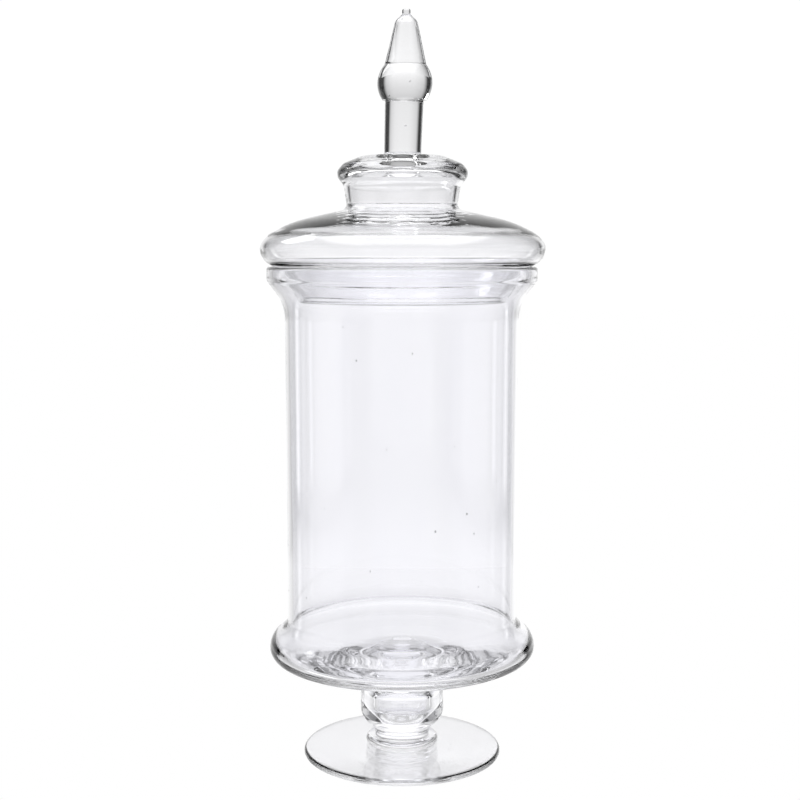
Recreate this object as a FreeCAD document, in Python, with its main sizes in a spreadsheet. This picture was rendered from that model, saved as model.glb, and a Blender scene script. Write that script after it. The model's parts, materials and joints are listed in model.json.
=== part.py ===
"""Footed apothecary jar of clear glass with a lift-off lid.

Every piece is turned about the jar's vertical axis, so each is the half-section of that piece
turned through a full circle. A half-section is a closed outline of corners, given as radius,
height and rounding. Heights are local to the piece, and its Placement stacks it on the one below.
The origin is the middle of the foot's underside, +Z is up, and lengths are millimetres.
"""

import FreeCAD, Part
import math
import os
import re

import Sketcher

DIMENSIONS = {
    # Foot: a flat plate that stands on a narrow ring around a shallow hollow
    "foot_radius": 68.3,
    "foot_edge": 4.2,
    "foot_height": 6.4,
    "foot_round": 2.0,
    "foot_slope_round": 30.0,
    "foot_ring": 62.0,
    "foot_hollow": 1.4,
    "foot_hollow_round": 20.0,
    # Merese: the flat button of glass between foot and knop
    "merese_radius": 25.0,
    "merese_height": 6.4,
    "merese_round": 3.1,
    # Knop: a ball blown hollow, with a thick wall
    "knop_height": 37.4,
    "knop_foot_radius": 18.6,
    "knop_collar_radius": 19.4,
    "knop_collar": 5.0,
    "knop_collar_round": 4.0,
    "knop_radius": 28.9,
    "knop_low": 14.5,
    "knop_low_round": 12.0,
    "knop_high": 29.0,
    "knop_high_round": 15.0,
    "knop_seat": 28.0,
    # The bubble of air inside the knop
    "bubble_radius": 17.6,
    "bubble_floor": 13.6,
    "bubble_floor_radius": 11.5,
    "bubble_floor_round": 7.0,
    "bubble_low": 20.5,
    "bubble_high": 29.5,
    "bubble_side_round": 6.0,
    "bubble_roof": 34.6,
    "bubble_roof_radius": 14.0,
    "bubble_roof_round": 5.0,
    # Vessel: a cylinder that flares to a saucer at the base and to a lip at the mouth
    "body_radius": 79.0,
    "body_taper": 0.5,
    "body_foot_round": 12.0,
    "body_top_round": 30.0,
    "wall": 3.2,
    "vessel_height": 288.4,
    "base_radius": 30.0,
    "base_round": 3.0,
    "underside_radius": 40.0,
    "underside": 11.5,
    "underside_round": 12.0,
    "saucer_radius": 91.4,
    "saucer_rise": 20.8,
    "saucer_low_round": 7.5,
    "saucer_shoulder": 33.2,
    "saucer_high_round": 12.0,
    "saucer_top": 43.7,
    "saucer_wall": 4.6,
    "lip_radius": 91.4,
    "lip_start": 262.8,
    "lip_end": 278.6,
    "lip_flare_round": 4.0,
    "lip_wall": 4.6,
    "lip_round": 2.2,
    "mouth_end": 280.2,
    "mouth_round": 6.0,
    "mouth_start": 264.0,
    "mouth_start_round": 28.0,
    # The vessel's floor: level, with a low boss in the middle
    "floor_corner": 41.6,
    "floor_corner_round": 17.0,
    "floor_shoulder": 32.5,
    "floor_shoulder_round": 6.0,
    "floor_level": 24.7,
    "floor_edge_round": 4.0,
    "boss_foot_radius": 21.0,
    "boss_foot_round": 12.0,
    "boss_crown_radius": 11.0,
    "boss_crown_round": 20.0,
    "boss_crown": 29.0,
    # Lid: one bubble, from the flange that hangs in the mouth to the hollow knob on top
    "seat_gap": 0.3,
    "seat_nest": 0.6,
    "lid_radius": 96.4,
    "lid_wall": 3.4,
    "lid_edge_round": 12.3,
    "lid_edge_inner_round": 7.6,
    "flange_wall": 3.2,
    "flange_top_radius": 82.8,
    "flange_top_round": 1.5,
    "flange_throat_radius": 79.6,
    "flange_throat_round": 7.0,
    "flange_bend_radius": 74.6,
    "flange_bend": 12.9,
    "flange_bend_round": 14.0,
    "flange_bend_inner_round": 10.0,
    "flange_radius": 70.8,
    "flange_depth": 22.0,
    "flange_bead": 3.6,
    "flange_bead_round": 1.5,
    "dome_edge": 14.8,
    "dome_edge_round": 7.0,
    "dome_edge_inner": 13.8,
    "dome_edge_inner_round": 5.0,
    "dome_shoulder_radius": 91.6,
    "dome_shoulder": 21.4,
    "dome_shoulder_round": 22.0,
    "dome_shoulder_inner_radius": 89.4,
    "dome_shoulder_inner": 18.6,
    "dome_shoulder_inner_round": 15.0,
    "dome_haunch_radius": 74.6,
    "dome_haunch": 30.1,
    "dome_haunch_round": 80.0,
    "dome_haunch_inner_radius": 73.8,
    "dome_haunch_inner_round": 75.0,
    "waist_radius": 36.9,
    "waist_foot": 38.9,
    "waist_foot_round": 4.0,
    "waist_foot_inner": 33.5,
    "waist_foot_inner_round": 8.0,
    "waist_top_radius": 39.3,
    "waist_top": 53.4,
    "waist_top_round": 5.0,
    "waist_top_inner": 54.8,
    "waist_top_inner_round": 6.0,
    "knob_radius": 44.0,
    "knob_underside": 59.8,
    "knob_underside_round": 5.5,
    "knob_underside_inner": 61.2,
    "knob_side_inner_round": 3.0,
    "knob_shoulder": 63.9,
    "knob_shoulder_round": 5.0,
    "knob_brow_radius": 40.4,
    "knob_brow": 68.5,
    "knob_brow_round": 7.0,
    "knob_brow_inner_radius": 37.0,
    "knob_brow_inner": 63.4,
    "knob_brow_inner_round": 4.0,
    "knob_crown_radius": 27.0,
    "knob_crown_round": 14.0,
    "knob_crown_inner_radius": 26.0,
    "knob_crown_inner_round": 30.0,
    "knob_ceiling": 64.6,
    "knob_height": 73.9,
    # Finial: a rod, a ball and a spire, each a solid gather
    "rod_radius": 12.4,
    "rod_top_radius": 12.9,
    "rod_height": 36.6,
    "rod_weld": 1.6,
    "ball_radius": 18.4,
    "ball_below": 11.0,
    "ball_above": 11.6,
    "spire_radius": 14.1,
    "spire_round": 0.6,
    "spire_neck_radius": 7.4,
    "spire_neck": 29.0,
    "spire_neck_round": 6.0,
    "nub_radius": 2.8,
    "nub_foot": 33.2,
    "nub_foot_round": 0.8,
    "nub_round": 1.2,
    "spire_height": 36.8,
}


def bound(formula):
    """A formula of dimension names as an expression that reads them from the sheet."""
    return re.sub(r"\b([a-z]\w*)\b(?!\()", r"Dimensions.\1", formula)


def worked_out(formula):
    """The formula's value, from which a sketch starts before its constraints are bound."""
    numbers = re.sub(r"[a-z]\w*", lambda found: str(DIMENSIONS[found.group()]), formula)
    return float(FreeCAD.Units.parseQuantity(numbers))


def dimension_sheet(doc):
    sheet = doc.addObject("Spreadsheet::Sheet", "Dimensions")
    for row, (alias, value) in enumerate(DIMENSIONS.items(), start=1):
        sheet.set(f"A{row}", alias)
        sheet.set(f"B{row}", str(value))
        sheet.setAlias(f"B{row}", alias)
    doc.recompute()
    return sheet


def corner_points(before, corner, after, rounding):
    """Where a corner's rounding starts and ends, its centre, and whether it turns left."""
    arriving = (corner - before).normalize()
    leaving = (after - corner).normalize()
    turn = arriving.x * leaving.y - arriving.y * leaving.x
    setback = rounding * math.tan(arriving.getAngle(leaving) / 2)
    start = corner - arriving * setback
    end = corner + leaving * setback
    side = FreeCAD.Vector(-arriving.y, arriving.x, 0) * math.copysign(rounding, turn)
    return start, end, start + side, turn > 0


def add_rounding(sketch, start, end, centre, turns_left):
    """An arc for a corner's rounding. Gives its number and which of its ends comes first."""
    first, last = (start, end) if turns_left else (end, start)
    angles = [math.atan2(p.y - centre.y, p.x - centre.x) for p in (first, last)]
    circle = Part.Circle(centre, FreeCAD.Vector(0, 0, 1), (start - centre).Length)
    arc = sketch.addGeometry(Part.ArcOfCircle(circle, *angles), False)
    return (arc, 1, 2) if turns_left else (arc, 2, 1)


def bind(sketch, constraint, name, formula):
    number = sketch.addConstraint(constraint)
    sketch.renameConstraint(number, name)
    sketch.setExpression(f"Constraints.{name}", bound(formula))


def place_point(sketch, geometry, position, name, radius, height, values):
    """Ties a point to its radius and height; the axis and the base plane take no dimension."""
    if values.x == 0:
        sketch.addConstraint(Sketcher.Constraint("PointOnObject", geometry, position, -2))
    else:
        across = Sketcher.Constraint("DistanceX", -1, 1, geometry, position, values.x)
        bind(sketch, across, f"{name}_radius", radius)
    if values.y == 0:
        sketch.addConstraint(Sketcher.Constraint("PointOnObject", geometry, position, -1))
    else:
        up = Sketcher.Constraint("DistanceY", -1, 1, geometry, position, values.y)
        bind(sketch, up, f"{name}_height", height)


def half_section(body, corners):
    """A closed outline in the body's XZ plane, from corners of (radius, height, rounding)."""
    sketch = body.newObject("Sketcher::SketchObject", f"{body.Name}_section")
    plane = next(f for f in body.Origin.OriginFeatures if f.Role == "XZ_Plane")
    sketch.AttachmentSupport = [(plane, "")]
    sketch.MapMode = "FlatFace"
    values = [[worked_out(formula) for formula in corner] for corner in corners]
    places = [FreeCAD.Vector(radius, height, 0) for radius, height, _ in values]
    count = len(corners)
    bends = {}
    for i, (_, _, rounding) in enumerate(values):
        if rounding > 0:
            bends[i] = corner_points(places[i - 1], places[i], places[(i + 1) % count], rounding)
    for i in range(count):
        after = (i + 1) % count
        start = bends[i][1] if i in bends else places[i]
        end = bends[after][0] if after in bends else places[after]
        if (end - start).dot(places[after] - places[i]) <= 0:
            raise ValueError(f"{body.Name}: the roundings of corners {i} and {after} meet")
        sketch.addGeometry(Part.LineSegment(start, end), False)
    for i, (radius, height, rounding) in enumerate(corners):
        name = f"corner{i}"
        before = (i - 1) % count
        if i not in bends:
            sketch.addConstraint(Sketcher.Constraint("Coincident", before, 2, i, 1))
            place_point(sketch, i, 1, name, radius, height, places[i])
            continue
        arc, first, last = add_rounding(sketch, *bends[i])
        sketch.addConstraint(Sketcher.Constraint("Tangent", before, 2, arc, first))
        sketch.addConstraint(Sketcher.Constraint("Tangent", arc, last, i, 1))
        bind(sketch, Sketcher.Constraint("Radius", arc, values[i][2]), f"{name}_round", rounding)
        point = sketch.addGeometry(Part.Point(places[i]), True)
        sketch.addConstraint(Sketcher.Constraint("PointOnObject", point, 1, before))
        sketch.addConstraint(Sketcher.Constraint("PointOnObject", point, 1, i))
        place_point(sketch, point, 1, name, radius, height, places[i])
    return sketch


def turned_piece(doc, label, base, corners):
    """A body turned about the vertical axis from its half-section, standing at the height base."""
    body = doc.addObject("PartDesign::Body", label)
    body.Label = label
    sketch = half_section(body, corners)
    turned = body.newObject("PartDesign::Revolution", f"{label}_turned")
    turned.Profile = sketch
    turned.ReferenceAxis = (sketch, ["V_Axis"])
    turned.Angle = 360
    sketch.Visibility = False
    body.setExpression("Placement.Base.z", bound(base))
    return body


def foot(doc):
    corners = [
        ("0", "foot_hollow", "0"),
        ("foot_ring", "0", "foot_hollow_round"),
        ("foot_radius", "0", "foot_round"),
        ("foot_radius", "foot_edge", "foot_round"),
        ("merese_radius", "foot_height", "foot_slope_round"),
        ("0", "foot_height", "0"),
    ]
    return turned_piece(doc, "foot", "0", corners)


def stem_merese(doc):
    corners = [
        ("0", "0", "0"),
        ("merese_radius", "0", "merese_round"),
        ("merese_radius", "merese_height", "merese_round"),
        ("0", "merese_height", "0"),
    ]
    return turned_piece(doc, "stem_merese", "foot_height", corners)


def stem_knop(doc):
    corners = [
        ("0", "0", "0"),
        ("knop_foot_radius", "0", "0"),
        ("knop_collar_radius", "knop_collar", "knop_collar_round"),
        ("knop_radius", "knop_low", "knop_low_round"),
        ("knop_radius", "knop_high", "knop_high_round"),
        ("knop_seat", "knop_height", "0"),
        ("0", "knop_height", "0"),
        ("0", "bubble_roof", "0"),
        ("bubble_roof_radius", "bubble_roof", "bubble_roof_round"),
        ("bubble_radius", "bubble_high", "bubble_side_round"),
        ("bubble_radius", "bubble_low", "bubble_side_round"),
        ("bubble_floor_radius", "bubble_floor", "bubble_floor_round"),
        ("0", "bubble_floor", "0"),
    ]
    return turned_piece(doc, "stem_knop", "foot_height + merese_height", corners)


def vessel(doc):
    corners = [
        ("0", "0", "0"),
        ("base_radius", "0", "base_round"),
        ("underside_radius", "underside", "underside_round"),
        ("saucer_radius", "saucer_rise", "saucer_low_round"),
        ("saucer_radius", "saucer_shoulder", "saucer_high_round"),
        ("body_radius - body_taper / 2", "saucer_top", "body_foot_round"),
        ("body_radius + body_taper / 2", "lip_start", "body_top_round"),
        ("lip_radius", "lip_end", "lip_flare_round"),
        ("lip_radius", "vessel_height", "lip_round"),
        ("lip_radius - lip_wall", "vessel_height", "lip_round"),
        ("lip_radius - lip_wall", "mouth_end", "mouth_round"),
        ("body_radius + body_taper / 2 - wall", "mouth_start", "mouth_start_round"),
        ("body_radius - body_taper / 2 - wall", "floor_corner", "floor_corner_round"),
        ("saucer_radius - saucer_wall", "floor_shoulder", "floor_shoulder_round"),
        ("saucer_radius - saucer_wall", "floor_level", "floor_edge_round"),
        ("boss_foot_radius", "floor_level", "boss_foot_round"),
        ("boss_crown_radius", "boss_crown", "boss_crown_round"),
        ("0", "boss_crown", "0"),
    ]
    return turned_piece(doc, "vessel", "foot_height + merese_height + knop_height", corners)


SEAT = "foot_height + merese_height + knop_height + vessel_height - seat_nest + seat_gap"


def lid_cover(doc):
    corners = [
        ("0", "knob_height", "0"),
        ("0", "knob_ceiling", "0"),
        ("knob_crown_inner_radius", "knob_ceiling", "knob_crown_inner_round"),
        ("knob_brow_inner_radius", "knob_brow_inner", "knob_brow_inner_round"),
        ("knob_radius - lid_wall", "knob_underside_inner", "knob_side_inner_round"),
        ("waist_top_radius - lid_wall", "waist_top_inner", "waist_top_inner_round"),
        ("waist_radius - lid_wall", "waist_foot_inner", "waist_foot_inner_round"),
        ("dome_haunch_inner_radius", "dome_haunch - lid_wall", "dome_haunch_inner_round"),
        ("dome_shoulder_inner_radius", "dome_shoulder_inner", "dome_shoulder_inner_round"),
        ("lid_radius - lid_wall", "dome_edge_inner", "dome_edge_inner_round"),
        ("lid_radius - lid_wall", "lid_wall", "lid_edge_inner_round"),
        ("flange_throat_radius", "lid_wall", "flange_throat_round"),
        ("flange_bend_radius - flange_wall", "-flange_bend", "flange_bend_inner_round"),
        ("flange_radius - flange_bead", "-flange_depth", "flange_bead_round"),
        ("flange_radius", "-flange_depth", "flange_bead_round"),
        ("flange_bend_radius", "-flange_bend", "flange_bend_round"),
        ("flange_top_radius", "0", "flange_top_round"),
        ("lid_radius", "0", "lid_edge_round"),
        ("lid_radius", "dome_edge", "dome_edge_round"),
        ("dome_shoulder_radius", "dome_shoulder", "dome_shoulder_round"),
        ("dome_haunch_radius", "dome_haunch", "dome_haunch_round"),
        ("waist_radius", "waist_foot", "waist_foot_round"),
        ("waist_top_radius", "waist_top", "waist_top_round"),
        ("knob_radius", "knob_underside", "knob_underside_round"),
        ("knob_radius", "knob_shoulder", "knob_shoulder_round"),
        ("knob_brow_radius", "knob_brow", "knob_brow_round"),
        ("knob_crown_radius", "knob_height", "knob_crown_round"),
    ]
    return turned_piece(doc, "lid_cover", SEAT, corners)


def finial_rod(doc):
    corners = [
        ("0", "0", "0"),
        ("rod_radius + rod_weld", "0", "0"),
        ("rod_radius", "rod_weld", "rod_weld"),
        ("rod_top_radius", "rod_height", "0"),
        ("0", "rod_height", "0"),
    ]
    return turned_piece(doc, "finial_rod", f"{SEAT} + knob_height", corners)


def finial_ball(doc):
    """A ball with a flat above and below, where the spire and the rod are joined on."""
    ball = doc.addObject("Part::Sphere", "finial_ball")
    ball.Label = "finial_ball"
    ball.setExpression("Radius", bound("ball_radius"))
    ball.setExpression("Angle1", bound("-asin(ball_below / ball_radius)"))
    ball.setExpression("Angle2", bound("asin(ball_above / ball_radius)"))
    centre = f"{SEAT} + knob_height + rod_height + ball_below"
    ball.setExpression("Placement.Base.z", bound(centre))
    return ball


def finial_spire(doc):
    corners = [
        ("0", "0", "0"),
        ("spire_radius", "0", "spire_round"),
        ("spire_neck_radius", "spire_neck", "spire_neck_round"),
        ("nub_radius", "nub_foot", "nub_foot_round"),
        ("nub_radius", "spire_height", "nub_round"),
        ("0", "spire_height", "0"),
    ]
    base = f"{SEAT} + knob_height + rod_height + ball_below + ball_above"
    return turned_piece(doc, "finial_spire", base, corners)


def checked(doc, pieces):
    """Stops on a failed object or an unsound shape, because a recompute does not."""
    for item in doc.Objects:
        if "Invalid" in item.State or "Error" in item.State:
            raise RuntimeError(f"{item.Name} failed: {item.State}")
    for piece in pieces:
        if piece.Shape.isNull() or not piece.Shape.isValid() or len(piece.Shape.Solids) != 1:
            raise RuntimeError(f"{piece.Label} is not one valid solid")


def main():
    doc = FreeCAD.newDocument("apothecary_jar")
    dimension_sheet(doc)
    makers = (
        foot,
        stem_merese,
        stem_knop,
        vessel,
        lid_cover,
        finial_rod,
        finial_ball,
        finial_spire,
    )
    pieces = [make(doc) for make in makers]
    doc.recompute()
    checked(doc, pieces)
    os.makedirs("parts", exist_ok=True)
    for piece in pieces:
        piece.Shape.exportStep(f"parts/{piece.Label}.step")
        box = piece.Shape.optimalBoundingBox()
        print(f"{piece.Label}: z {box.ZMin:.2f} to {box.ZMax:.2f}, radius {box.XMax:.2f}")


main()
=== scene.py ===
"""Clear glass apothecary jar with a lift-off lid: its looks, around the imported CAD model.

Every piece is turned, so each CAD node's outline is read from the frame and turned again as an
even mesh, a little off true as hand-blown glass is. Where two pieces are joined hot, the faces
that touch let light straight through. Lengths are metres, and +Z is up.
"""

import json
import math
import random

import bmesh
import bpy
from mathutils import Matrix, Vector, noise


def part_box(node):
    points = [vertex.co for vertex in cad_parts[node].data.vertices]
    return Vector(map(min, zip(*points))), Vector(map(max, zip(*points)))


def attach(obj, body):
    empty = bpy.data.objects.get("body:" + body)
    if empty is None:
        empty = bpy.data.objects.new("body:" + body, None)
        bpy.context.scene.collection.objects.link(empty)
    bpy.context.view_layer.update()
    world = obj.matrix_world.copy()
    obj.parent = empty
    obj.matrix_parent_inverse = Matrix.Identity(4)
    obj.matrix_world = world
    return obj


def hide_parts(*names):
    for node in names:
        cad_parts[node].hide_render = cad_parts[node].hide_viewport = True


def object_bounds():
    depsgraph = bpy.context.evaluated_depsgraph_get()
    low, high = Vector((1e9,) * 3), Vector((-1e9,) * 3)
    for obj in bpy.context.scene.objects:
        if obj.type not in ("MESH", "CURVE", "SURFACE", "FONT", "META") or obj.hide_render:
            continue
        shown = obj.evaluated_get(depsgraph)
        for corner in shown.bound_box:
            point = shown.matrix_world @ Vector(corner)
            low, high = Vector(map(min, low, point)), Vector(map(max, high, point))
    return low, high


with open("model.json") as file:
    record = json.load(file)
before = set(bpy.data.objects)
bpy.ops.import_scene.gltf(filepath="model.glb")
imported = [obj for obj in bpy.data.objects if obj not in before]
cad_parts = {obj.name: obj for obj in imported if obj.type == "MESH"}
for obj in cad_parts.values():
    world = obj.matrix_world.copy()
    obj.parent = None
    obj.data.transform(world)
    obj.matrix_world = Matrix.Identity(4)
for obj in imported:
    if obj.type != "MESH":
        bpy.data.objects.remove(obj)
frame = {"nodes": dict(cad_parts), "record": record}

CAD_BOX = [list(corner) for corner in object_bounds()]
MM = 0.001

# Which material slot each node takes, from the record
SLOTS = {part["node"]: part["material_slot"] for part in frame["record"]["subparts"]}
BODIES = frame["record"]["behaviour"]["bodies"]

# Pieces joined hot, from the foot up. The lid only rests on the vessel.
HOT_JOINTS = [
    ("foot", "stem_merese"),
    ("stem_merese", "stem_knop"),
    ("stem_knop", "vessel"),
    ("lid_cover", "finial_rod"),
    ("finial_rod", "finial_ball"),
    ("finial_ball", "finial_spire"),
]

# Fineness of the turned meshes
SEGMENTS = 240
ROW_GAP = 3.2 * MM
SHARP_EDGE = math.radians(40)
SAME_PLACE = 1e-6

# How far the glass is off true: shallow ripples, as streaks and wide waves, that fade out near
# the hot joints and the standing plane
RIPPLE_DEPTH = {
    "vessel": 0.10 * MM,
    "lid_cover": 0.14 * MM,
    "stem_knop": 0.10 * MM,
    "foot": 0.08 * MM,
}
SMALL_RIPPLE = 0.06 * MM
RIPPLE_FADE = 2.5 * MM
STREAK_SCALE = Vector((42, 42, 9))
WAVE_SCALE = 23
WAVE_OFFSET = Vector((3.1, 0.7, 5.2))

# The finial leans to +X, the lid is narrower on its -X side, and the saucer is higher at +X
FINIAL_LEAN = 2.8 * MM
LID_NARROWER = 0.008
LID_RIM_FROM = 40 * MM
SAUCER_TILT = 0.006
TILT_START = 12 * MM
SAUCER_TOP = 60 * MM
TILT_END = 150 * MM

# Flutes that the tools cut, running out from the axis, around the lid's waist and under the vessel
LID_FLUTES = 0.35 * MM
BASE_FLUTES = 0.06 * MM
FLUTES_AROUND = 6
FLUTE_TWIST = 20
FLUTED_PIECES = ("lid_cover", "vessel")
UNFLUTED_RADIUS = 20 * MM
LID_FLUTES_ACROSS = (33 * MM, 37 * MM, 50 * MM, 66 * MM)
LID_FLUTES_UP = (45 * MM, 50 * MM, 60 * MM, 66 * MM)
BASE_FLUTES_ACROSS = (31 * MM, 42 * MM, 70 * MM, 88 * MM)
BASE_FLUTES_END = (30 * MM, 40 * MM)
DOWNWARD = -0.5

# Seeds, the small bubbles of air in the glass: how many are drawn at random for each piece, of
# which it keeps those that its glass is thick enough for, and the placed ones
SEEDS = {"vessel": 16, "lid_cover": 7, "foot": 4, "stem_knop": 2, "finial_spire": 1}
PLACED_SEEDS = {
    "finial_rod": [(0.002, -0.005, 0.4315, 0.5 * MM)],
    "finial_ball": [(-0.007, -0.005, 0.4525, 0.6 * MM), (0.004, 0.003, 0.461, 0.35 * MM)],
    "vessel": [(0.021, -0.0747, 0.172, 0.5 * MM), (0.046, -0.0624, 0.168, 0.4 * MM)],
}
SEED_SIZES = (0.25 * MM, 0.5 * MM)
SEED_STRETCH = 1.5


# ---------------------------------------------------------------- outlines of the CAD nodes


def outline(node):
    """A node's half-section as chains of (radius, height), with their ends at or beside the axis."""
    mesh = frame["nodes"][node].data
    seam = {}
    for v in mesh.vertices:
        if abs(v.co.y) < SAME_PLACE and v.co.x > -SAME_PLACE:
            seam[v.index] = (round(v.co.x, 6), round(v.co.z, 6))
    links = {place: set() for place in seam.values()}
    for edge in mesh.edges:
        a, b = (seam.get(i) for i in edge.vertices)
        if a and b and a != b:
            links[a].add(b)
            links[b].add(a)
    chains = []
    ends = sorted(place for place in links if len(links[place]) == 1)
    while ends:
        chain = [ends.pop(0)]
        while True:
            onward = [p for p in links[chain[-1]] if len(chain) < 2 or p != chain[-2]]
            if not onward:
                break
            chain.append(onward[0])
        ends.remove(chain[-1])
        chains.append(chain)
    return chains


def on_axis(place):
    return place[0] < SAME_PLACE


def closed_to_axis(chain):
    """The chain with a point on the axis at each end."""
    first = [] if on_axis(chain[0]) else [(0.0, chain[0][1])]
    last = [] if on_axis(chain[-1]) else [(0.0, chain[-1][1])]
    return first + chain + last


def evened(points):
    """The points with more between them, so that no row of faces is much wider than the gap."""
    rows = [points[0]]
    for a, b in zip(points, points[1:]):
        parts = math.ceil(math.dist(a, b) / ROW_GAP)
        rows += [tuple(a[i] + (b[i] - a[i]) * k / parts for i in (0, 1)) for k in range(1, parts + 1)]
    return rows


def crossings(node, height):
    """The radii at which a node's outline passes a height, from the axis out."""
    found = []
    for chain in OUTLINES[node]:
        for (r0, z0), (r1, z1) in zip(chain, chain[1:]):
            if min(z0, z1) <= height < max(z0, z1):
                found.append(r0 + (r1 - r0) * (height - z0) / (z1 - z0))
    return sorted(found)


def flat_radius(node, height):
    """How far from the axis a node's flat end at this height reaches."""
    ends = [chain[i] for chain in OUTLINES[node] for i in (0, -1)]
    return max(r for r, z in ends if abs(z - height) < SAME_PLACE)


OUTLINES = {node: outline(node) for node in frame["nodes"]}


def hot_joints():
    """Each hot joint's height, and the radius of the disc where its two pieces are one glass."""
    joints = []
    for below, above in HOT_JOINTS:
        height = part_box(below)[1].z if below != "vessel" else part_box(above)[0].z
        radius = min(flat_radius(below, height), flat_radius(above, height))
        joints.append((below, above, height, radius))
    return joints


JOINTS = hot_joints()

# Heights at which nothing ripples: the hot joints and the plane that the jar stands on
STILL_HEIGHTS = [height for _, _, height, _ in JOINTS] + [0.0]

# ---------------------------------------------------------------- glass worked by hand


def smooth(value, low, high):
    """0 up to low, 1 from high, and a smooth rise between."""
    x = min(max((value - low) / (high - low), 0), 1)
    return x * x * (3 - 2 * x)


def leaned(place):
    """The finial leans a little, and the saucer dips on one side."""
    x, y, z = place
    knob_foot = lid_low + 0.7 * (lid_high - lid_low)
    x_off = FINIAL_LEAN * smooth(z, knob_foot, CAD_BOX[1][2])
    above_seat = z - vessel_low
    around = smooth(above_seat, 0, TILT_START) * (1 - smooth(above_seat, SAUCER_TOP, TILT_END))
    return Vector((x + x_off, y, z + SAUCER_TILT * x * around))


vessel_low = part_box("vessel")[0].z
lid_low, lid_high = (corner.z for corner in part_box("lid_cover"))
chance = random.Random(20)


def ripple(node, place, outward):
    """How deep the surface lies under the true one: streaks along the wall and wide shallow waves."""
    depth = RIPPLE_DEPTH.get(node, SMALL_RIPPLE)
    side = Vector((0, 0, 0.4 * outward))
    streaks = noise.noise(place * STREAK_SCALE + side)
    waves = noise.noise(place * WAVE_SCALE + side + WAVE_OFFSET)
    clear = min(smooth(abs(place.z - h), 0, RIPPLE_FADE) for h in STILL_HEIGHTS)
    return depth * clear * (0.5 + 0.3 * streaks + 0.5 * waves)


def band(value, start, full, still, end):
    """0 outside start to end, 1 between full and still, and smooth between."""
    return smooth(value, start, full) * (1 - smooth(value, still, end))


def tool_marks(node, place, facing_down):
    """How deep the tools cut their flutes into the undersides of the lid's dome and the vessel."""
    radius = math.hypot(place.x, place.y)
    if node not in FLUTED_PIECES or radius < UNFLUTED_RADIUS or not facing_down:
        return 0.0
    around = Vector((place.x, place.y, 0)) / radius
    flutes = noise.noise(around * FLUTES_AROUND + Vector((0, 0, radius * FLUTE_TWIST)))
    if node == "lid_cover":
        above_seat = place.z - lid_low
        within = band(radius, *LID_FLUTES_ACROSS) * band(above_seat, *LID_FLUTES_UP)
        return LID_FLUTES * within * (0.5 + flutes)
    above_seat = place.z - vessel_low
    within = band(radius, *BASE_FLUTES_ACROSS) * (1 - smooth(above_seat, *BASE_FLUTES_END))
    return BASE_FLUTES * within * (0.5 + flutes)


def with_joint_edges(points, joints):
    """The points with one more on each flat end that is wider than its hot-joined disc."""
    for height, radius in joints:
        for end, beside, spot in ((0, 1, 1), (-1, -2, len(points) - 1)):
            at_joint = abs(points[end][1] - height) < SAME_PLACE
            if at_joint and radius < points[beside][0] - SAME_PLACE:
                points.insert(spot, (radius, height))
    return points


def turned(node, joints):
    """A node's outlines turned about the axis as one mesh, with the hot-joined discs in slot 1."""
    bm = bmesh.new()
    widest = max(radius for chain in OUTLINES[node] for radius, _ in chain)
    for chain in OUTLINES[node]:
        points = with_joint_edges(closed_to_axis(chain), joints)
        is_bubble = max(radius for radius, _ in chain) < widest
        skin = add_turned_chain(bm, evened(points), joints)
        bmesh.ops.recalc_face_normals(bm, faces=skin)
        if is_bubble:
            bmesh.ops.reverse_faces(bm, faces=skin)
    bm.normal_update()
    work_by_hand(bm, node)
    for seed in seeds(node):
        add_seed(bm, *seed)
    mesh = bpy.data.meshes.new(f"glass_{node}")
    bm.to_mesh(mesh)
    bm.free()
    mesh.polygons.foreach_set("use_smooth", [True] * len(mesh.polygons))
    mesh.set_sharp_from_angle(angle=SHARP_EDGE)
    return mesh


def add_ring(bm, radius, height):
    """A ring of points around the axis, or one point on it."""
    if on_axis((radius, height)):
        return [bm.verts.new((0, 0, height))]
    turns = [2 * math.pi / SEGMENTS * k for k in range(SEGMENTS)]
    return [bm.verts.new((radius * math.cos(a), radius * math.sin(a), height)) for a in turns]


def in_hot_joint(here, there, joints):
    """Whether the band between two rows lies in the disc of a hot joint."""
    for height, radius in joints:
        level = all(abs(z - height) < SAME_PLACE for _, z in (here, there))
        if level and max(here[0], there[0]) < radius + SAME_PLACE:
            return True
    return False


def add_turned_chain(bm, rows, joints):
    """The faces of one outline turned full circle."""
    rings = [add_ring(bm, radius, height) for radius, height in rows]
    skin = []
    for here, there, ring, above in zip(rows, rows[1:], rings, rings[1:]):
        slot = 1 if in_hot_joint(here, there, joints) else 0
        for k in range(SEGMENTS):
            after = (k + 1) % SEGMENTS
            turns = ((ring, k), (ring, after), (above, after), (above, k))
            corners = list(dict.fromkeys(verts[i % len(verts)] for verts, i in turns))
            if len(corners) > 2:
                face = bm.faces.new(corners)
                face.material_index = slot
                skin.append(face)
    return skin


def work_by_hand(bm, node):
    """Moves the true surface inwards by the ripples and tool marks, and bends the whole off true."""
    narrow = LID_NARROWER if node == "lid_cover" else 0
    moved = []
    for v in bm.verts:
        radius = math.hypot(v.co.x, v.co.y)
        outward = 0.0
        if radius > SAME_PLACE:
            outward = (v.normal.x * v.co.x + v.normal.y * v.co.y) / radius
        depth = ripple(node, v.co, outward) + tool_marks(node, v.co, v.normal.z < DOWNWARD)
        place = v.co - v.normal * depth
        if narrow and radius > LID_RIM_FROM:
            share = narrow * (radius - place.x) / (2 * radius)
            place = Vector((place.x * (1 - share), place.y * (1 - share), place.z))
        moved.append(leaned(place))
    for v, place in zip(bm.verts, moved):
        v.co = place


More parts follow.
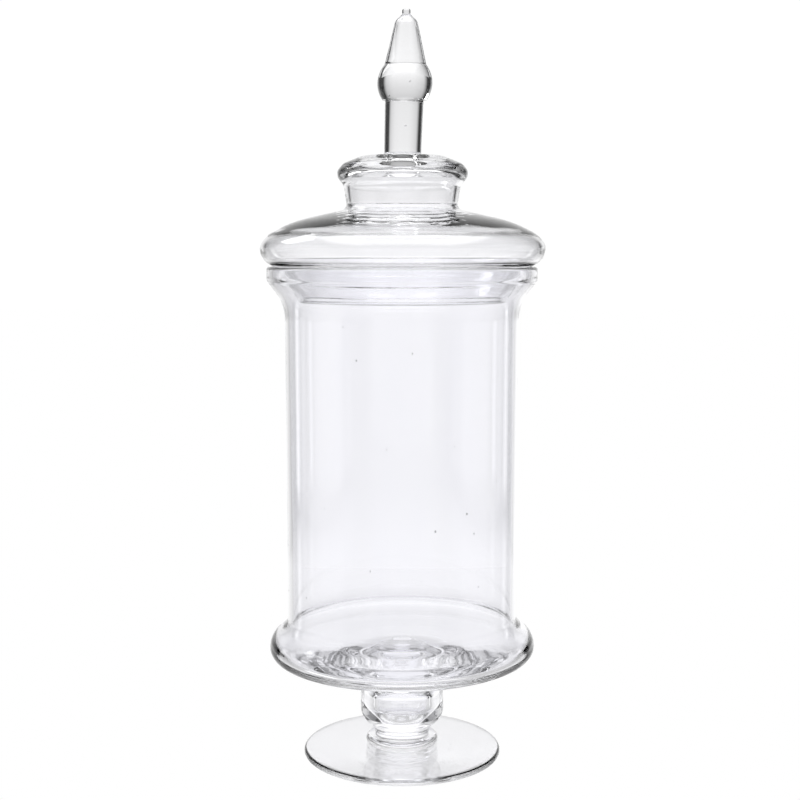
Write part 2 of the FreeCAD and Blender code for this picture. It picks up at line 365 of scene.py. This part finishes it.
def seeds(node):
    """Where the seeds of a piece are: x, y, z and radius, in the middle of the glass."""
    places = list(PLACED_SEEDS.get(node, []))
    low, high = (corner.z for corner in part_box(node))
    for _ in range(SEEDS.get(node, 0)):
        height = low + (high - low) * chance.uniform(0.15, 0.85)
        size = chance.uniform(*SEED_SIZES)
        turn = chance.uniform(0, 2 * math.pi)
        walls = crossings(node, height)
        edges = [0.0] + walls if len(walls) % 2 else walls
        inner, outer = edges[-2], edges[-1]
        if outer - inner > 4 * size:
            middle = (inner + outer) / 2
            places.append((middle * math.cos(turn), middle * math.sin(turn), height, size))
    return places


def add_seed(bm, x, y, z, radius):
    """A small drawn-out bubble, whose faces look into the air inside it."""
    shape = Matrix.Translation((x, y, z)) @ Matrix.Diagonal((1, 1, SEED_STRETCH, 1))
    ball = bmesh.ops.create_icosphere(bm, subdivisions=2, radius=radius, matrix=shape)
    bmesh.ops.reverse_faces(bm, faces=list({face for v in ball["verts"] for face in v.link_faces}))


# ---------------------------------------------------------------- materials


GLASS_IOR = 1.5
DULLEST = 0.03


def new_material(name):
    material = bpy.data.materials.new(name)
    material.use_nodes = True
    tree = material.node_tree
    return material, tree, tree.nodes["Principled BSDF"]


def glass(name, clear, cord, swirl_scale, bump_distance):
    """Hand-worked clear glass: faint cords of another tint, and a fire-polished skin not quite flat."""
    material, tree, shader = new_material(name)
    shader.inputs["Transmission Weight"].default_value = 1.0
    shader.inputs["IOR"].default_value = GLASS_IOR
    place = tree.nodes.new("ShaderNodeTexCoord")
    stretch = tree.nodes.new("ShaderNodeMapping")
    stretch.inputs["Scale"].default_value = swirl_scale
    tree.links.new(place.outputs["Object"], stretch.inputs["Vector"])
    cords = tree.nodes.new("ShaderNodeTexNoise")
    cords.inputs["Scale"].default_value = 1.0
    cords.inputs["Detail"].default_value = 3.0
    cords.inputs["Distortion"].default_value = 0.6
    tree.links.new(stretch.outputs["Vector"], cords.inputs["Vector"])
    tint = tree.nodes.new("ShaderNodeValToRGB")
    tint.color_ramp.elements[0].position = 0.3
    tint.color_ramp.elements[0].color = (*cord, 1)
    tint.color_ramp.elements[1].position = 0.7
    tint.color_ramp.elements[1].color = (*clear, 1)
    tree.links.new(cords.outputs["Fac"], tint.inputs["Fac"])
    tree.links.new(tint.outputs["Color"], shader.inputs["Base Color"])
    polish = tree.nodes.new("ShaderNodeMapRange")
    polish.inputs["From Min"].default_value = 0.55
    polish.inputs["From Max"].default_value = 0.9
    polish.inputs["To Min"].default_value = 0.0
    polish.inputs["To Max"].default_value = DULLEST
    tree.links.new(cords.outputs["Fac"], polish.inputs["Value"])
    tree.links.new(polish.outputs["Result"], shader.inputs["Roughness"])
    bump = tree.nodes.new("ShaderNodeBump")
    bump.inputs["Strength"].default_value = 1.0
    bump.inputs["Distance"].default_value = bump_distance
    tree.links.new(cords.outputs["Fac"], bump.inputs["Height"])
    tree.links.new(bump.outputs["Normal"], shader.inputs["Normal"])
    return material


def fused_glass():
    """The inside of a hot joint: glass against glass, so nothing bends or reflects there."""
    material, _, shader = new_material("fused_joint")
    shader.inputs["Base Color"].default_value = (1, 1, 1, 1)
    shader.inputs["Alpha"].default_value = 0.0
    return material


GLASS = {
    slot: glass(slot, clear, cord, swirl_scale, bump_distance)
    for slot, clear, cord, swirl_scale, bump_distance in (
        ("vessel_glass", (0.98, 0.98, 1.0), (0.96, 0.96, 0.985), (30, 30, 5), 0.06 * MM),
        ("lid_glass", (0.99, 0.99, 1.0), (0.97, 0.97, 0.985), (18, 18, 40), 0.06 * MM),
        ("stem_glass", (0.98, 0.98, 1.0), (0.96, 0.96, 0.98), (40, 40, 70), 0.05 * MM),
        ("foot_glass", (0.98, 0.98, 1.0), (0.96, 0.96, 0.98), (25, 25, 25), 0.06 * MM),
        ("finial_glass", (0.975, 0.975, 0.985), (0.955, 0.955, 0.965), (50, 50, 18), 0.04 * MM),
    )
}
FUSED = fused_glass()

# ---------------------------------------------------------------- the jar's pieces


def body_of(node):
    return next(body for body, nodes in BODIES.items() if node in nodes)


for node in frame["nodes"]:
    fused_discs = [(height, radius) for below, above, height, radius in JOINTS if node in (below, above)]
    piece = bpy.data.objects.new(f"glass_{node}", turned(node, fused_discs))
    bpy.context.scene.collection.objects.link(piece)
    piece.data.materials.append(GLASS[SLOTS[node]])
    piece.data.materials.append(FUSED)
    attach(piece, body_of(node))
    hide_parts(node)

# ---------------------------------------------------------------- floor, studio and camera

CAMERA_PLACE = (-0.0014, -0.969, 0.3602)
CAMERA_TILT = math.radians(90 - 6.63)
CAMERA_LENS = 64.3
SENSOR_WIDTH = 36

# The floor lies just clear of the foot. Out from the axis as far as the reach, its mirror and its own
# glow, which is painted light, follow stops of (share of the reach, brightness). Both are dimmer under
# the foot than just beyond it, a painted shadow of the jar, and the glow fades out far off, a painted
# pool of light around the jar.
FLOOR_SIZE = 12
FLOOR_GAP = 0.1 * MM
FLOOR_ROUGHNESS = 0.1
FLOOR_REACH = 1.0
FLOOR_MIRROR_PAINTED_SHADE = (
    (0.0, 0.2),
    (0.07, 0.2),
    (0.11, 0.26),
    (0.18, 0.26),
    (0.3, 0.42),
    (0.6, 0.44),
    (1.0, 0.2),
)
FLOOR_PAINTED_GLOW = (
    (0.0, 0.57),
    (0.07, 0.57),
    (0.11, 0.64),
    (0.18, 0.64),
    (0.3, 0.44),
    (0.6, 0.42),
    (0.9, 0.08),
    (1.0, 0.05),
)
WHITE_SEEN = 1.02
ROOM_LIGHT = 0.02

# The backdrop: wide below the join, which the vessel sees, and narrower above it, for dark edges
# on the lid and the finial
BACKDROP_LEFT = -0.033
BACKDROP_BEHIND = 0.55
BACKDROP_WIDTH = 1.245
BACKDROP_BOTTOM = -0.1
BACKDROP_JOIN = 0.38
BACKDROP_TOP = 1.05
BACKDROP_BRIGHT = 1.08

# How the light of the panels varies, by stops of (share of the way, share of the light)
SOFT_EDGES = ((0.0, 0.0), (0.12, 1.0), (0.88, 1.0), (1.0, 0.0))
BACKDROP_ACROSS = ((0.0, 0.3), (0.15, 0.5), (0.27, 0.75), (0.43, 1.0), (0.76, 1.0), (1.0, 0.5))
BACKDROP_UP = ((0.0, 1.0), (1.0, 1.0))
HIGH_ACROSS = (
    (0.0, 0.0),
    (0.14, 0.03),
    (0.27, 0.8),
    (0.43, 1.0),
    (0.66, 1.0),
    (0.79, 0.75),
    (0.88, 0.03),
    (1.0, 0.0),
)
HIGH_UP = (
    (0.0, 1.0),
    (0.1, 0.88),
    (0.21, 0.8),
    (0.37, 0.7),
    (0.52, 0.62),
    (0.83, 0.35),
    (1.0, 0.0),
)

# Each panel: its name, place, the point that it faces, width, height and light
PANELS = (
    ("left_strip", (-0.79, 0.48, 0.17), (0, 0, 0.17), 0.12, 0.34, 1.2),
    ("right_strip", (0.81, 0.46, 0.17), (0, 0, 0.17), 0.1, 0.34, 1.2),
    ("left_side", (-0.85, -0.1, 0.16), (0, -0.1, 0.16), 1.0, 0.32, 0.45),
    ("right_side", (0.85, -0.1, 0.16), (0, -0.1, 0.16), 1.0, 0.32, 0.45),
    ("left_high", (-0.85, 0, 0.6), (0, 0, 0.5), 1.2, 0.5, 0.35),
    ("right_high", (0.85, 0, 0.6), (0, 0, 0.5), 1.2, 0.5, 0.2),
    ("left_window", (-0.72, 0.56, 1.08), (0, 0, 0.36), 0.5, 0.5, 4.0),
    ("overhead_softbox", (0, -0.1, 1.3), (0, 0, 0.3), 1.6, 1.6, 1.8),
    ("room_behind_camera", (0, -1.5, 0.4), (0, 0, 0.3), 2.2, 1.6, 0.3),
)


def seen_and_lit(tree, seen, lit):
    """A strength that is one value straight from the camera and another for all other light."""
    path = tree.nodes.new("ShaderNodeLightPath")
    choice = tree.nodes.new("ShaderNodeMix")
    choice.data_type = "FLOAT"
    tree.links.new(path.outputs["Is Camera Ray"], choice.inputs[0])
    choice.inputs[2].default_value = lit
    choice.inputs[3].default_value = seen
    return choice.outputs[0]


def product(tree, a, b):
    """One socket's value times another's, or times a number."""
    node = tree.nodes.new("ShaderNodeMath")
    node.operation = "MULTIPLY"
    tree.links.new(a, node.inputs[0])
    if isinstance(b, (int, float)):
        node.inputs[1].default_value = b
    else:
        tree.links.new(b, node.inputs[1])
    return node.outputs[0]


def make_floor():
    """A pale polished table: white to the camera, while the glass sees the studio mirrored in it and the
    table's own painted glow, with painted shade under the foot.
    """
    bpy.ops.mesh.primitive_plane_add(size=FLOOR_SIZE, location=(0, 0, -FLOOR_GAP))
    floor = bpy.context.object
    floor.name = "floor"
    material, tree, shader = new_material("polished_floor_painted_glow")
    shader.inputs["Metallic"].default_value = 1.0
    shader.inputs["Roughness"].default_value = FLOOR_ROUGHNESS
    shader.inputs["Emission Color"].default_value = (1, 1, 1, 1)
    place = tree.nodes.new("ShaderNodeTexCoord")
    far = tree.nodes.new("ShaderNodeVectorMath")
    far.operation = "LENGTH"
    tree.links.new(place.outputs["Object"], far.inputs[0])
    distance = far.outputs["Value"]
    # Reflection and glow are dimmer under the foot than just beyond it, a painted shadow of the jar, and
    # the glow fades out far off, a painted pool of light
    mirror_with_painted_shade = ramp(tree, distance, 0, FLOOR_REACH, FLOOR_MIRROR_PAINTED_SHADE)
    light = ramp(tree, distance, 0, FLOOR_REACH, FLOOR_PAINTED_GLOW)
    tree.links.new(mirror_with_painted_shade, shader.inputs["Base Color"])
    tree.links.new(light, shader.inputs["Emission Strength"])
    white = tree.nodes.new("ShaderNodeEmission")
    path = tree.nodes.new("ShaderNodeLightPath")
    seen = tree.nodes.new("ShaderNodeMixShader")
    tree.links.new(path.outputs["Is Camera Ray"], seen.inputs[0])
    tree.links.new(shader.outputs[0], seen.inputs[1])
    tree.links.new(white.outputs[0], seen.inputs[2])
    tree.links.new(seen.outputs[0], tree.nodes["Material Output"].inputs["Surface"])
    floor.data.materials.append(material)


def make_room():
    """White behind the jar as the camera sees it, and a dim room for what the glass reflects."""
    world = bpy.data.worlds.new("room")
    bpy.context.scene.world = world
    world.use_nodes = True
    tree = world.node_tree
    light = tree.nodes["Background"]
    light.inputs["Color"].default_value = (1, 1, 1, 1)
    tree.links.new(seen_and_lit(tree, WHITE_SEEN, ROOM_LIGHT), light.inputs["Strength"])


def make_camera():
    camera = bpy.data.objects.new("camera", bpy.data.cameras.new("camera"))
    bpy.context.scene.collection.objects.link(camera)
    camera.location = CAMERA_PLACE
    camera.rotation_euler = (CAMERA_TILT, 0, 0)
    camera.data.lens = CAMERA_LENS
    camera.data.sensor_width = SENSOR_WIDTH
    bpy.context.scene.camera = camera
    bpy.context.view_layer.update()
    return camera


def ramp(tree, value, low, high, stops):
    """A brightness by stops of (share of the way from low to high, brightness)."""
    share = tree.nodes.new("ShaderNodeMapRange")
    tree.links.new(value, share.inputs["Value"])
    share.inputs["From Min"].default_value = low
    share.inputs["From Max"].default_value = high
    node = tree.nodes.new("ShaderNodeValToRGB")
    tree.links.new(share.outputs["Result"], node.inputs["Fac"])
    elements = node.color_ramp.elements
    for element, (place, brightness) in zip(elements, (stops[0], stops[-1])):
        element.position = place
        element.color = (brightness, brightness, brightness, 1)
    for place, brightness in stops[1:-1]:
        elements.new(place).color = (brightness, brightness, brightness, 1)
    return node.outputs["Color"]


def panel(camera, name, place, target, width, height, light, across=SOFT_EDGES, up=SOFT_EDGES):
    """A soft white panel at a place, facing the target, that moves with the camera."""
    mesh = bpy.data.meshes.new(name)
    w, h = width / 2, height / 2
    mesh.from_pydata([(-w, -h, 0), (w, -h, 0), (w, h, 0), (-w, h, 0)], [], [(0, 1, 2, 3)])
    board = bpy.data.objects.new(name, mesh)
    bpy.context.scene.collection.objects.link(board)
    facing = (Vector(target) - Vector(place)).to_track_quat("Z", "Y").to_matrix().to_4x4()
    board.matrix_world = Matrix.Translation(place) @ facing
    material, tree, shader = new_material(f"{name}_light")
    tree.nodes.remove(shader)
    emission = tree.nodes.new("ShaderNodeEmission")
    tree.links.new(emission.outputs[0], tree.nodes["Material Output"].inputs["Surface"])
    coordinates = tree.nodes.new("ShaderNodeTexCoord")
    split = tree.nodes.new("ShaderNodeSeparateXYZ")
    tree.links.new(coordinates.outputs["Object"], split.inputs[0])
    glow_across = ramp(tree, split.outputs["X"], -w, w, across)
    glow_up = ramp(tree, split.outputs["Y"], -h, h, up)
    glow = product(tree, glow_across, glow_up)
    tree.links.new(product(tree, glow, light), emission.inputs["Strength"])
    mesh.materials.append(material)
    board.visible_camera = False
    board.visible_shadow = False
    bpy.context.view_layer.update()
    world = board.matrix_world.copy()
    board.parent = camera
    board.matrix_parent_inverse = camera.matrix_world.inverted()
    board.matrix_world = world


def backdrop(camera, name, bottom, top, across, up):
    """A wide panel behind the jar, from one height up to another."""
    middle = (bottom + top) / 2
    place = (BACKDROP_LEFT, BACKDROP_BEHIND, middle)
    target = (BACKDROP_LEFT, 0, middle)
    panel(camera, name, place, target, BACKDROP_WIDTH, top - bottom, BACKDROP_BRIGHT, across, up)


make_floor()
make_room()
camera = make_camera()
backdrop(camera, "backdrop", BACKDROP_BOTTOM, BACKDROP_JOIN, BACKDROP_ACROSS, BACKDROP_UP)
backdrop(camera, "high_backdrop", BACKDROP_JOIN, BACKDROP_TOP, HIGH_ACROSS, HIGH_UP)
for name, place, target, width, height, light in PANELS:
    panel(camera, name, place, target, width, height, light)

scene = bpy.context.scene
scene.view_settings.view_transform = "Standard"
scene.cycles.max_bounces = 24
scene.cycles.transmission_bounces = 24
scene.cycles.glossy_bounces = 12
scene.cycles.transparent_max_bounces = 32
